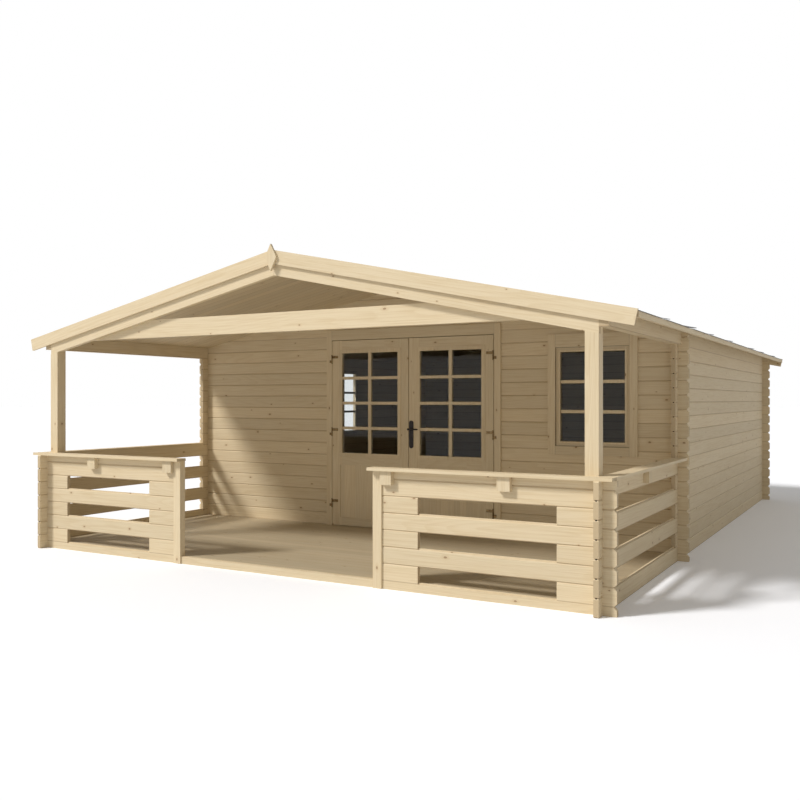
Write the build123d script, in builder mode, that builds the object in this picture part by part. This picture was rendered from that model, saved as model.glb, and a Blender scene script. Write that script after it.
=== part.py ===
"""Log-built garden shed with a double door and a railed veranda under one gable roof."""

import math
import os

from build123d import *

os.makedirs("parts", exist_ok=True)

# Logs
course = 120.0
half_course = course / 2
log_t = 34.0
groove_depth = 5.0
groove_half = 6.5
log_end_out = 80.0
log_end_side = 90.0
end_bevel = 21.0
end_bevel_front = 7.0
notch = course / 2
wall_courses = 16
gable_courses = 8

# Plan sizes, X across the front, Y from the front (minus) to the rear
half_width = 2585.0
veranda_depth = 2130.0
cabin_depth = 5240.0
rear_eave = 300.0
total_depth = log_end_out + veranda_depth + cabin_depth + rear_eave
y_log_ends = -total_depth / 2
y_rail = y_log_ends + log_end_out
y_front = y_rail + veranda_depth
y_wall_back = y_front + log_t
y_rear = y_front + cabin_depth
y_roof_end = y_rear + rear_eave
y_side_front = y_front - log_end_out
y_side_rear = y_rear + log_end_out
y_post = y_rail + log_t
inner_half = half_width - log_t
log_reach = half_width + log_end_side

# Roof
roof_pitch = 12.0
slope = math.tan(math.radians(roof_pitch))
wall_height = wall_courses * course
roof_seat = 6.0
board_t = 18.0
board_rise = board_t / math.cos(math.radians(roof_pitch))
felt_t = 4.0
felt_lip = 6.0
side_eave = 195.0
roof_half = half_width + side_eave
eave_board_t = 20.0
eave_board_h = 38.0
fascia_half = roof_half + eave_board_t
fascia_t = 20.0
fascia_height = 105.0
fascia_lift = 12.0
fascia_setback = 14.0
ridge_under = wall_height - roof_seat + half_width * slope
finial_half = 55.0
finial_t = 20.0
finial_top = 2537.0
finial_bottom = 2330.0

# Veranda frame
post_size = 90.0
rafter_t = 45.0
rafter_drop = 163.0
rafter_gap = 3.0
rafter_joint = 1.0
tie_bottom = 1870.0
tie_height = 150.0
beam_board_t = 30.0
beam_half = half_width + beam_board_t

# Railing
rail_courses = 7
rail_height = rail_courses * course
entrance_half = 922.0
entrance_post_w = 72.0
entrance_post_d = 58.0
entrance_post_out = (entrance_post_d - log_t) / 2
slot_rows = range(1, rail_courses - 1, 2)
slot_from_entrance = 358.0
slot_from_corner = 297.0
slot_start = entrance_half + slot_from_entrance
slot_end = half_width - slot_from_corner
stub_in = 80.0
cap_t = 22.0
cap_out = 67.0
cap_entrance_out = 18.0
cap_side_out = 80.0
bracket_w = 92.0
bracket_t = 42.0
bracket_h = 98.0
bracket_from_entrance = 121.0
bracket_from_corner = 648.0
bracket_near = entrance_half + bracket_from_entrance
bracket_far = half_width - bracket_from_corner
side_bracket_back = 1085.0
side_bracket_y = y_front - side_bracket_back

# Floor
floor_t = 18.0
floor_top = half_course
joist_w = 45.0
joist_rows = 9

# Doors
door_x = 35.0
leaf_pair_half = 895.0
leaf_gap = 6.5
leaf_t = 40.0
leaf_lift = 6.0
leaf_bottom = floor_top + leaf_lift
leaf_top = 1942.0
door_clear = 6.0
leaf_edge = 120.0
panel_edge = 95.0
lock_rail_low = 680.0
lock_rail_top = 803.0
panel_low = 150.0
panel_t = 18.0
door_glass_top = 1814.0
pane_t = 4.0
pane_lap = 6.0
casing_t = 18.0
casing_w = 64.0
casing_head = 100.0
jamb_t = 34.0
stop_t = 14.0
stop_gap = 6.0
hinge_axis_out = 9.0
hinge_axis_in = 1.0
knuckle_r = 6.0
knuckle_len = 90.0
hinge_pin_r = 3.0
hinge_pin_len = 38.0
hinge_play = 0.3
strap_len = 70.0
strap_h = 26.0
strap_t = 4.0
fixed_strap_start = 3.0
fixed_strap_end = 31.0
fixed_strap_t = 5.0
hinge_heights = (290.0, 1016.0, 1755.0)
handle_z = 1056.0
plate_w = 40.0
plate_inset = 4.0
plate_h = 255.0
plate_t = 4.0
plate_low = 876.0
spindle_r = 8.0
lever_len = 110.0
lever_start = 20.0
lever_h = 20.0
lever_t = 14.0
lever_out = 45.0

# Windows
window_from_corner = 729.0
window_x = half_width - window_from_corner
side_window_back = 2780.0
window_y = y_front + side_window_back
side_window_drop = half_course
window_w = 660.0
window_low = 932.0
window_high = 1807.0
window_mid = (window_low + window_high) / 2
side_window_mid = window_mid - side_window_drop
sash_edge = 41.0
sash_t = 40.0
window_casing_w = 70.0
window_head_h = 118.0
window_sill_h = 77.0
window_glass_back = 28.0

# Purlins inside the cabin
purlin_w = 60.0
purlin_h = 140.0
purlin_x = half_width / 2


def roof_under(x):
    """Height of the roof boards' underside at x."""
    return ridge_under - abs(x) * slope


def roof_over(x):
    """Height of the roof boards' top at x."""
    return roof_under(x) + board_rise


def grooved_outline(outer, inner, joints, bottom, top, inner_grooves=False):
    """Cross-section of stacked logs, with a V at every joint of the outer face, or of both faces."""
    inside = [z for z in joints if bottom + groove_half < z < top - groove_half]
    inward = math.copysign(groove_depth, inner - outer)
    points = [(outer, bottom)]
    for z in inside:
        points += [(outer, z - groove_half), (outer + inward, z), (outer, z + groove_half)]
    points += [(outer, top), (inner, top)]
    if inner_grooves:
        for z in reversed(inside):
            points += [(inner, z + groove_half), (inner - inward, z), (inner, z - groove_half)]
    points += [(inner, bottom)]
    return points


# The side logs start with a full course, the front and rear ones with a half course
side_joints = [course * n for n in range(wall_courses + 1)]
front_joints = [half_course + course * n for n in range(wall_courses + gable_courses)]
side_bands = [course * n + half_course for n in range(wall_courses)]
front_bands = [course * n for n in range(wall_courses + 1)]
rail_front_bands = front_bands[: rail_courses + 1]
rail_side_bands = side_bands[:rail_courses]
low = (Align.MIN, Align.MIN, Align.MIN)
mid = (Align.CENTER, Align.CENTER, Align.CENTER)
upward = (Align.CENTER, Align.CENTER, Align.MIN)
from_front = (Align.CENTER, Align.MIN, Align.MIN)
downward = (Align.CENTER, Align.CENTER, Align.MAX)
bevel_side = end_bevel * math.sqrt(2)
bevel_front = end_bevel_front * math.sqrt(2)
roof_cutter = [
    (0, ridge_under),
    (2 * half_width, ridge_under - 2 * half_width * slope),
    (2 * half_width, 2 * wall_height),
    (-2 * half_width, 2 * wall_height),
    (-2 * half_width, ridge_under - 2 * half_width * slope),
]

parts = {}

# Half logs at the bottom of the veranda's front and of the cabin's front wall
with BuildPart() as sill_logs:
    with Locations((0, y_rail, 0), (0, y_front, 0)):
        Box(2 * log_reach, log_t, half_course, align=from_front)
    with Locations(
        *[(x, y, notch / 2) for x in (-half_width, inner_half) for y in (y_rail, y_front)]
    ):
        Box(log_t, log_t, half_course, align=low, mode=Mode.SUBTRACT)
    with BuildSketch(Plane.XZ.offset(-y_front - log_t)):
        with Locations((-log_reach, half_course), (log_reach, half_course)):
            Rectangle(bevel_side, bevel_side, rotation=45)
    extrude(amount=veranda_depth + log_t, mode=Mode.SUBTRACT)
parts["sill_logs"] = sill_logs

# Front railings: one log wall each side of the entrance, with three slots cut through
for side, label in ((-1, "front_railing_left"), (1, "front_railing_right")):
    rail_end = entrance_half + entrance_post_w
    with BuildPart() as front_railing:
        with BuildSketch(Plane.YZ.offset(rail_end if side > 0 else -log_reach)):
            with BuildLine():
                Polyline(
                    *grooved_outline(y_rail, y_post, front_joints, half_course, rail_height, True),
                    close=True,
                )
            make_face()
        extrude(amount=log_reach - rail_end)
        with BuildSketch(Plane.XZ.offset(-y_rail - log_t)):
            with Locations(*[(side * (slot_start + slot_end) / 2, course * n) for n in slot_rows]):
                Rectangle(slot_end - slot_start, course)
            with Locations(*[(side * log_reach, z) for z in front_joints[:rail_courses]]):
                Rectangle(bevel_side, bevel_side, rotation=45)
        extrude(amount=log_t, mode=Mode.SUBTRACT)
        with Locations(*[(side * (half_width - log_t / 2), y_rail + log_t / 2, z) for z in rail_side_bands]):
            Box(log_t, log_t, notch, align=mid, mode=Mode.SUBTRACT)
    parts[label] = front_railing

# Side railings: every other log runs back to the cabin, the ones between are stubs
for side, label in ((-1, "side_railing_left"), (1, "side_railing_right")):
    x_low = -half_width if side < 0 else inner_half
    with BuildPart() as side_railing:
        with BuildSketch(Plane.XZ.offset(-y_side_front)):
            with BuildLine():
                Polyline(
                    *grooved_outline(side * half_width, side * inner_half, side_joints, 0, rail_height, True),
                    close=True,
                )
            make_face()
        extrude(amount=y_side_front - y_log_ends)
        with BuildSketch(Plane.YZ.offset(x_low)):
            gap_front = y_rail + log_t + stub_in
            with Locations(*[((gap_front + y_side_front) / 2, side_bands[n]) for n in slot_rows]):
                Rectangle(y_side_front - gap_front, course)
            with Locations(*[(y_log_ends, z) for z in side_joints[: rail_courses + 1]]):
                Rectangle(bevel_front, bevel_front, rotation=45)
        extrude(amount=log_t, mode=Mode.SUBTRACT)
        with Locations(*[(x_low + log_t / 2, y_rail + log_t / 2, z) for z in rail_front_bands]):
            Box(log_t, log_t, notch, align=mid, mode=Mode.SUBTRACT)
    parts[label] = side_railing

# Caps on the railings, with the side ones passing the cabin's log ends
with BuildPart() as front_railing_caps:
    for side in (-1, 1):
        cap_end = entrance_half - cap_entrance_out
        cap_length = half_width + cap_side_out - cap_end
        with Locations((side * (cap_end + cap_length / 2), y_rail - cap_out, rail_height)):
            Box(cap_length, cap_out + log_t, cap_t, align=from_front)
parts["front_railing_caps"] = front_railing_caps

with BuildPart() as side_railing_caps:
    with BuildSketch(Plane.XY.offset(rail_height)):
        for side in (-1, 1):
            with BuildLine():
                Polyline(
                    (side * inner_half, y_post),
                    (side * (half_width + cap_side_out), y_post),
                    (side * (half_width + cap_side_out), y_front),
                    (side * half_width, y_front),
                    (side * half_width, y_side_front),
                    (side * inner_half, y_side_front),
                    close=True,
                )
            make_face()
    extrude(amount=cap_t)
parts["side_railing_caps"] = side_railing_caps

with BuildPart() as cap_brackets:
    bracket_places = (-bracket_far, -bracket_near, bracket_near, bracket_far)
    with Locations(*[(x, y_rail - bracket_t / 2, rail_height) for x in bracket_places]):
        Box(bracket_w, bracket_t, bracket_h, align=downward)
    with Locations(*[(side * (half_width + bracket_t / 2), side_bracket_y, rail_height) for side in (-1, 1)]):
        Box(bracket_t, bracket_w, bracket_h, align=downward)
parts["cap_brackets"] = cap_brackets

# Posts at the entrance, which stand on the sill and have a lip in front of it
with BuildPart() as entrance_posts:
    entrance_post_x = entrance_half + entrance_post_w / 2
    post_front = y_rail - entrance_post_out
    with Locations(*[(side * entrance_post_x, post_front, half_course) for side in (-1, 1)]):
        Box(entrance_post_w, entrance_post_d, rail_height - half_course, align=from_front)
    with Locations(*[(side * entrance_post_x, post_front, 0) for side in (-1, 1)]):
        Box(entrance_post_w, entrance_post_out, half_course, align=from_front)
parts["entrance_posts"] = entrance_posts

# Posts from the floor to the roof boards, housed at the top for the rafters
y_fascia_back = y_rail + fascia_setback + fascia_t
y_rafter = y_fascia_back + rafter_gap
with BuildPart() as corner_posts:
    with Locations(*[(side * (inner_half - post_size / 2), y_post, floor_top) for side in (-1, 1)]):
        Box(post_size, post_size, ridge_under - floor_top, align=from_front)
    with BuildSketch(Plane.XZ.offset(-y_rear)):
        with BuildLine():
            Polyline(*roof_cutter, close=True)
        make_face()
    extrude(amount=total_depth, mode=Mode.SUBTRACT)
    with BuildSketch(Plane.XZ.offset(-y_rafter - rafter_t)):
        with BuildLine():
            Polyline(
                (0, roof_under(0) - rafter_drop),
                (inner_half, roof_under(inner_half) - rafter_drop),
                (inner_half, ridge_under),
                (-inner_half, ridge_under),
                (-inner_half, roof_under(inner_half) - rafter_drop),
                close=True,
            )
        make_face()
    extrude(amount=rafter_t + rafter_gap, mode=Mode.SUBTRACT)
parts["corner_posts"] = corner_posts

# The top side logs run on from the cabin as the veranda's side beams, thickened outside by a board
top_log_low = wall_height - course
for side, label in ((-1, "top_log_left"), (1, "top_log_right")):
    x_low = -half_width if side < 0 else inner_half
    with BuildPart() as top_log:
        with BuildSketch(Plane.XZ.offset(-y_side_rear)):
            with BuildLine():
                Polyline(
                    (side * inner_half, top_log_low),
                    (side * half_width, top_log_low),
                    (side * half_width, roof_under(half_width)),
                    (side * inner_half, roof_under(inner_half)),
                    close=True,
                )
            make_face()
        extrude(amount=y_side_rear - y_fascia_back)
        with Locations(
            *[
                (x_low + log_t / 2, y + log_t / 2, z)
                for y in (y_front, y_rear - log_t)
                for z in (top_log_low, wall_height)
            ]
        ):
            Box(log_t, log_t, notch, align=mid, mode=Mode.SUBTRACT)
        with BuildSketch(Plane.YZ.offset(x_low)):
            with Locations((y_side_rear, top_log_low), (y_side_rear, wall_height)):
                Rectangle(bevel_front, bevel_front, rotation=45)
        extrude(amount=log_t, mode=Mode.SUBTRACT)
        with BuildSketch(Plane.XZ.offset(-y_front)):
            with BuildLine():
                Polyline(
                    (side * half_width, top_log_low),
                    (side * beam_half, top_log_low),
                    (side * beam_half, roof_under(beam_half)),
                    (side * half_width, roof_under(half_width)),
                    close=True,
                )
            make_face()
        extrude(amount=y_front - y_fascia_back)
    parts[label] = top_log

# Rafters behind the fascias and the tie beam behind the rafters
with BuildPart() as front_rafters:
    with BuildSketch(Plane.XZ.offset(-y_rafter - rafter_t)):
        for side in (-1, 1):
            with BuildLine():
                Polyline(
                    (side * rafter_joint / 2, roof_under(rafter_joint / 2)),
                    (side * inner_half, roof_under(inner_half)),
                    (side * inner_half, roof_under(inner_half) - rafter_drop),
                    (side * rafter_joint / 2, roof_under(rafter_joint / 2) - rafter_drop),
                    close=True,
                )
            make_face()
    extrude(amount=rafter_t)
parts["front_rafters"] = front_rafters

post_low = inner_half - post_size
with BuildPart() as tie_beam:
    with BuildSketch(Plane.XZ.offset(-y_rafter - 2 * rafter_t)):
        with Locations((0, tie_bottom + tie_height / 2)):
            Rectangle(2 * post_low, tie_height)
        with BuildLine():
            Polyline(*roof_cutter, close=True)
        make_face(mode=Mode.SUBTRACT)
    extrude(amount=rafter_t)
parts["tie_beam"] = tie_beam

# Cabin front wall, split beside and over the doorway
opening_half = leaf_pair_half + door_clear + jamb_t
gable_low = front_joints[wall_courses]
for side, label in ((-1, "front_wall_left"), (1, "front_wall_right")):
    opening_x = door_x + side * opening_half
    wall_length = log_reach - side * opening_x
    with BuildPart() as front_wall:
        with BuildSketch(Plane.YZ.offset(opening_x if side > 0 else -log_reach)):
            with BuildLine():
                Polyline(
                    *grooved_outline(y_front, y_wall_back, front_joints, half_course, gable_low),
                    close=True,
                )
            make_face()
        extrude(amount=wall_length)
        with BuildSketch(Plane.XZ.offset(-y_front - log_t)):
            with BuildLine():
                Polyline(*roof_cutter, close=True)
            make_face()
            with Locations(*[(side * log_reach, z) for z in front_joints[:wall_courses]]):
                Rectangle(bevel_side, bevel_side, rotation=45)
            if side > 0:
                with Locations((window_x, window_mid)):
                    Rectangle(window_w, window_high - window_low)
        extrude(amount=log_t, mode=Mode.SUBTRACT)
        with Locations(*[(side * (half_width - log_t / 2), y_front + log_t / 2, z) for z in side_bands]):
            Box(log_t, log_t, notch, align=mid, mode=Mode.SUBTRACT)
    parts[label] = front_wall

with BuildPart() as front_gable:
    with BuildSketch(Plane.YZ.offset(-half_width)):
        with BuildLine():
            Polyline(*grooved_outline(y_front, y_wall_back, front_joints, gable_low, ridge_under), close=True)
        make_face()
    extrude(amount=2 * half_width)
    with BuildSketch(Plane.XZ.offset(-y_front - log_t)):
        with BuildLine():
            Polyline(*roof_cutter, close=True)
        make_face()
    extrude(amount=log_t, mode=Mode.SUBTRACT)
parts["front_gable"] = front_gable

with BuildPart() as rear_wall:
    with BuildSketch(Plane.YZ.offset(-log_reach)):
        with BuildLine():
            Polyline(*grooved_outline(y_rear, y_rear - log_t, front_joints, 0, ridge_under), close=True)
        make_face()
    extrude(amount=2 * log_reach)
    with BuildSketch(Plane.XZ.offset(-y_rear)):
        with BuildLine():
            Polyline(*roof_cutter, close=True)
        make_face()
        with Locations(*[(x, z) for x in (-log_reach, log_reach) for z in front_joints[:wall_courses]]):
            Rectangle(bevel_side, bevel_side, rotation=45)
    extrude(amount=log_t, mode=Mode.SUBTRACT)
    with Locations(
        *[(side * (half_width - log_t / 2), y_rear - log_t / 2, z) for side in (-1, 1) for z in side_bands]
    ):
        Box(log_t, log_t, notch, align=mid, mode=Mode.SUBTRACT)
parts["rear_wall"] = rear_wall

# Side walls up to the top logs, with the railing's logs left square where they run on
for side, label in ((-1, "left_wall"), (1, "right_wall")):
    x_low = -half_width if side < 0 else inner_half
    with BuildPart() as side_wall:
        with BuildSketch(Plane.XZ.offset(-y_side_rear)):
            with BuildLine():
                Polyline(
                    *grooved_outline(side * half_width, side * inner_half, side_joints, 0, top_log_low),
                    close=True,
                )
            make_face()
        extrude(amount=y_side_rear - y_side_front)
        with BuildSketch(Plane.YZ.offset(x_low)):
            with Locations(*[(y_side_rear, z) for z in side_joints[:wall_courses]]):
                Rectangle(bevel_front, bevel_front, rotation=45)
            with Locations(*[(y_side_front, z) for z in side_joints[rail_courses:wall_courses]]):
                Rectangle(bevel_front, bevel_front, rotation=45)
            if side < 0:
                with Locations((window_y, side_window_mid)):
                    Rectangle(window_w, window_high - window_low)
        extrude(amount=log_t, mode=Mode.SUBTRACT)
        with Locations(
            *[(x_low + log_t / 2, y + log_t / 2, z) for y in (y_front, y_rear - log_t) for z in front_bands]
        ):
            Box(log_t, log_t, notch, align=mid, mode=Mode.SUBTRACT)
    parts[label] = side_wall

# Floors and the joists under them
with BuildPart() as floor_veranda:
    with Locations((0, y_rail + log_t, floor_top)):
        Box(2 * inner_half, veranda_depth - log_t, floor_t, align=(Align.CENTER, Align.MIN, Align.MAX))
parts["floor_veranda"] = floor_veranda

with BuildPart() as floor_cabin:
    with Locations((0, y_front + log_t, floor_top)):
        Box(2 * inner_half, cabin_depth - 2 * log_t, floor_t, align=(Align.CENTER, Align.MIN, Align.MAX))
parts["floor_cabin"] = floor_cabin

joist_h = floor_top - floor_t
joist_pitch = (2 * inner_half - joist_w) / (joist_rows - 1)
with BuildPart() as floor_joists:
    for joist_y, joist_length in ((y_post, y_front - y_post), (y_wall_back, cabin_depth - 2 * log_t)):
        with Locations((0, joist_y + joist_length / 2, 0)):
            with GridLocations(joist_pitch, 0, joist_rows, 1):
                Box(joist_w, joist_length, joist_h, align=upward)
parts["floor_joists"] = floor_joists

# Roof boards and felt, in two slopes
y_rear_fascia = y_roof_end - fascia_t
for side, hand in ((-1, "left"), (1, "right")):
    with BuildPart() as roof_boards:
        with BuildSketch(Plane.XZ.offset(-y_rear_fascia)):
            with BuildLine():
                Polyline(
                    (0, ridge_under),
                    (side * roof_half, roof_under(roof_half)),
                    (side * roof_half, roof_over(roof_half)),
                    (0, roof_over(0)),
                    close=True,
                )
            make_face()
        extrude(amount=y_rear_fascia - y_fascia_back)
    parts["roof_boards_" + hand] = roof_boards
    felt_edge = fascia_half + felt_lip
    with BuildPart() as roof_felt:
        with BuildSketch(Plane.XZ.offset(-y_rear_fascia)):
            with BuildLine():
                Polyline(
                    (0, roof_over(0)),
                    (side * felt_edge, roof_over(felt_edge)),
                    (side * felt_edge, roof_over(felt_edge) + felt_t),
                    (0, roof_over(0) + felt_t),
                    close=True,
                )
            make_face()
        extrude(amount=y_rear_fascia - y_fascia_back)
    parts["roof_felt_" + hand] = roof_felt

# Fascias along the gable edges, square cut at the eaves
fascia_rise = fascia_height / math.cos(math.radians(roof_pitch))
fascia_foot_x = fascia_half - fascia_height * math.sin(math.radians(roof_pitch))
fascia_top = roof_over(0) + fascia_lift
fascia_end_z = roof_over(fascia_half) + fascia_lift
fascia_foot_z = fascia_end_z - fascia_height * math.cos(math.radians(roof_pitch))
for side, label in ((-1, "front_fascia_left"), (1, "front_fascia_right")):
    with BuildPart() as front_fascia:
        with BuildSketch(Plane.XZ.offset(-y_fascia_back)):
            with BuildLine():
                Polyline(
                    (0, fascia_top),
                    (side * fascia_half, fascia_end_z),
                    (side * fascia_foot_x, fascia_foot_z),
                    (0, fascia_top - fascia_rise),
                    close=True,
                )
            make_face()
        extrude(amount=fascia_t)
    parts[label] = front_fascia

with BuildPart() as rear_fascia:
    with BuildSketch(Plane.XZ.offset(-y_roof_end)):
        with BuildLine():
            Polyline(
                (0, fascia_top),
                (fascia_half, fascia_end_z),
                (fascia_foot_x, fascia_foot_z),
                (0, fascia_top - fascia_rise),
                (-fascia_foot_x, fascia_foot_z),
                (-fascia_half, fascia_end_z),
                close=True,
            )
        make_face()
    extrude(amount=fascia_t)
parts["rear_fascia"] = rear_fascia

eave_board_bottom = roof_over(fascia_half) - eave_board_h
with BuildPart() as eave_boards:
    with BuildSketch(Plane.XZ.offset(-y_rear_fascia)):
        for side in (-1, 1):
            with BuildLine():
                Polyline(
                    (side * roof_half, eave_board_bottom),
                    (side * fascia_half, eave_board_bottom),
                    (side * fascia_half, roof_over(fascia_half)),
                    (side * roof_half, roof_over(roof_half)),
                    close=True,
                )
            make_face()
    extrude(amount=y_rear_fascia - y_fascia_back)
parts["eave_boards"] = eave_boards

with BuildPart() as finial:
    with BuildSketch(Plane.XZ.offset(-y_rail - fascia_setback)):
        finial_mid = (finial_top + finial_bottom) / 2
        with BuildLine():
            Polyline(
                (0, finial_bottom),
                (finial_half, finial_mid),
                (0, finial_top),
                (-finial_half, finial_mid),
                close=True,
            )
        make_face()
    extrude(amount=finial_t)
parts["finial"] = finial

# Purlins between the cabin's two gables
with BuildPart() as roof_purlins:
    with BuildSketch(Plane.XZ.offset(-y_rear + log_t)):
        for x in (-purlin_x, 0, purlin_x):
            with Locations((x, roof_under(x) - purlin_h / 2)):
                Rectangle(purlin_w, purlin_h)
        with BuildLine():
            Polyline(*roof_cutter, close=True)
        make_face(mode=Mode.SUBTRACT)
    extrude(amount=cabin_depth - 2 * log_t)
parts["roof_purlins"] = roof_purlins

# Door frame: jambs and head in the wall, a stop behind the leaves, a casing outside
frame_head = leaf_top + door_clear
clear_half = leaf_pair_half + door_clear
y_leaf = y_front - casing_t
y_stop = y_leaf + leaf_t + stop_gap
with BuildPart() as door_frame:
    with BuildSketch(Plane.XZ.offset(-y_front - log_t)):
        with Locations((door_x, (floor_top + gable_low) / 2)):
            Rectangle(2 * opening_half, gable_low - floor_top)
        with Locations((door_x, (floor_top + frame_head) / 2)):
            Rectangle(2 * clear_half, frame_head - floor_top, mode=Mode.SUBTRACT)
    extrude(amount=log_t)
    with BuildSketch(Plane.XZ.offset(-y_front)):
        casing_top = frame_head + casing_head
        with Locations((door_x, (floor_top + casing_top) / 2)):
            Rectangle(2 * (clear_half + casing_w), casing_top - floor_top)
        with Locations((door_x, (floor_top + frame_head) / 2)):
            Rectangle(2 * clear_half, frame_head - floor_top, mode=Mode.SUBTRACT)
    extrude(amount=casing_t)
    with BuildSketch(Plane.XZ.offset(-y_front - log_t)):
        with Locations((door_x, (floor_top + frame_head) / 2)):
            Rectangle(2 * clear_half, frame_head - floor_top)
        with Locations((door_x, (floor_top + frame_head - stop_t) / 2)):
            Rectangle(2 * (clear_half - stop_t), frame_head - stop_t - floor_top, mode=Mode.SUBTRACT)
    extrude(amount=y_front + log_t - y_stop)
parts["door_frame"] = door_frame

# Door leaves, their panes and their hinges
leaf_w = leaf_pair_half - leaf_gap / 2
light_w = leaf_w - 2 * leaf_edge
panel_w = leaf_w - 2 * panel_edge
for side, hand in ((-1, "left"), (1, "right")):
    leaf_mid = door_x + side * (leaf_gap / 2 + leaf_w / 2)
    with BuildPart() as door_leaf:
        with BuildSketch(Plane.XZ.offset(-y_leaf - leaf_t)):
            with Locations((leaf_mid, (leaf_bottom + leaf_top) / 2)):
                Rectangle(leaf_w, leaf_top - leaf_bottom)
            with Locations((leaf_mid, (lock_rail_top + door_glass_top) / 2)):
                Rectangle(light_w, door_glass_top - lock_rail_top, mode=Mode.SUBTRACT)
            with Locations((leaf_mid, (panel_low + lock_rail_low) / 2)):
                Rectangle(panel_w, lock_rail_low - panel_low, mode=Mode.SUBTRACT)
        extrude(amount=leaf_t)
        with Locations((leaf_mid, y_leaf + leaf_t / 2, (panel_low + lock_rail_low) / 2)):
            Box(panel_w, panel_t, lock_rail_low - panel_low)
        with Locations((leaf_mid, y_leaf + leaf_t / 2, (lock_rail_top + door_glass_top) / 2)):
            Box(
                light_w + 2 * pane_lap,
                pane_t,
                door_glass_top - lock_rail_top + 2 * pane_lap,
                mode=Mode.SUBTRACT,
            )
    parts["door_leaf_" + hand] = door_leaf
    with BuildPart() as door_glass:
        with Locations((leaf_mid, y_leaf + leaf_t / 2, (lock_rail_top + door_glass_top) / 2)):
            Box(light_w + 2 * pane_lap, pane_t, door_glass_top - lock_rail_top + 2 * pane_lap)
    parts["door_glass_" + hand] = door_glass
    axis_x = door_x + side * (leaf_pair_half - hinge_axis_in)
    strap_z = knuckle_len / 4
    with BuildPart() as door_hinges:
        with Locations(*[(axis_x, y_leaf - hinge_axis_out, z + hinge_play / 2) for z in hinge_heights]):
            Cylinder(knuckle_r, (knuckle_len - hinge_play) / 2, align=upward)
        with Locations(
            *[(axis_x - side * strap_len / 2, y_leaf - strap_t / 2, z + strap_z) for z in hinge_heights]
        ):
            Box(strap_len, strap_t, strap_h)
        with Locations(*[(axis_x, y_leaf - hinge_axis_out, z) for z in hinge_heights]):
            Cylinder(hinge_pin_r + hinge_play, hinge_pin_len + hinge_play, align=upward, mode=Mode.SUBTRACT)
    parts["door_hinges_" + hand] = door_hinges

# The hinges' lower halves on the casing, each with the pin that its upper half turns on
with BuildPart() as hinge_pins:
    for side in (-1, 1):
        axis_x = door_x + side * (leaf_pair_half - hinge_axis_in)
        with Locations(*[(axis_x, y_leaf - hinge_axis_out, z - hinge_play / 2) for z in hinge_heights]):
            Cylinder(knuckle_r, (knuckle_len - hinge_play) / 2, align=downward)
            Cylinder(hinge_pin_r, hinge_pin_len, align=upward)
        strap_x = axis_x + side * (fixed_strap_start + fixed_strap_end) / 2
        with Locations(*[(strap_x, y_leaf - fixed_strap_t / 2, z - knuckle_len / 4) for z in hinge_heights]):
            Box(fixed_strap_end - fixed_strap_start, fixed_strap_t, strap_h)
parts["hinge_pins"] = hinge_pins

# Lever handle on the right leaf's meeting stile
handle_x = door_x + leaf_gap / 2 + plate_inset + plate_w / 2
with BuildPart() as door_handle:
    with BuildSketch(Plane.XZ.offset(-y_leaf)):
        with Locations((handle_x, plate_low + plate_h / 2)):
            SlotOverall(plate_h, plate_w, rotation=90)
    extrude(amount=plate_t)
    with Locations(Location((handle_x, y_leaf - lever_out / 2, handle_z), (90, 0, 0))):
        Cylinder(spindle_r, lever_out)
    with Locations((handle_x - lever_start, y_leaf - lever_out, handle_z)):
        Box(lever_len, lever_t, lever_h, align=(Align.MIN, Align.CENTER, Align.CENTER))
parts["door_handle"] = door_handle

# Windows, the same in the front wall and in the left wall
window_h = window_high - window_low
casing_span = window_h + window_head_h + window_sill_h
front_plane = Plane(origin=(window_x, y_front, window_mid), x_dir=(1, 0, 0), z_dir=(0, -1, 0))
side_plane = Plane(origin=(-half_width, window_y, side_window_mid), x_dir=(0, -1, 0), z_dir=(-1, 0, 0))
for label, plane in (("window_frame_front", front_plane), ("window_frame_side", side_plane)):
    with BuildPart() as window_frame:
        with BuildSketch(plane.offset(-sash_t)):
            Rectangle(window_w, window_h)
            Rectangle(window_w - 2 * sash_edge, window_h - 2 * sash_edge, mode=Mode.SUBTRACT)
        extrude(amount=sash_t)
        with BuildSketch(plane):
            with Locations((0, (window_head_h - window_sill_h) / 2)):
                Rectangle(window_w + 2 * window_casing_w, casing_span)
            Rectangle(window_w, window_h, mode=Mode.SUBTRACT)
        extrude(amount=casing_t)
        with BuildSketch(plane.offset(-window_glass_back - pane_t)):
            Rectangle(window_w - 2 * sash_edge + 2 * pane_lap, window_h - 2 * sash_edge + 2 * pane_lap)
        extrude(amount=pane_t, mode=Mode.SUBTRACT)
    parts[label] = window_frame

with BuildPart() as window_glass:
    with BuildSketch(front_plane.offset(-window_glass_back - pane_t)):
        Rectangle(window_w - 2 * sash_edge + 2 * pane_lap, window_h - 2 * sash_edge + 2 * pane_lap)
    extrude(amount=pane_t)
    with BuildSketch(side_plane.offset(-window_glass_back - pane_t)):
        Rectangle(window_w - 2 * sash_edge + 2 * pane_lap, window_h - 2 * sash_edge + 2 * pane_lap)
    extrude(amount=pane_t)
parts["window_glass"] = window_glass

for label, builder in parts.items():
    builder.part.label = label
    export_step(builder.part, "parts/" + label + ".step")
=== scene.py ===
"""Finish, boards, glazing bars, roofing sheets, light and camera of a log-built garden shed."""

import math

import bmesh
import bpy
from mathutils import Matrix, Vector, noise


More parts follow.
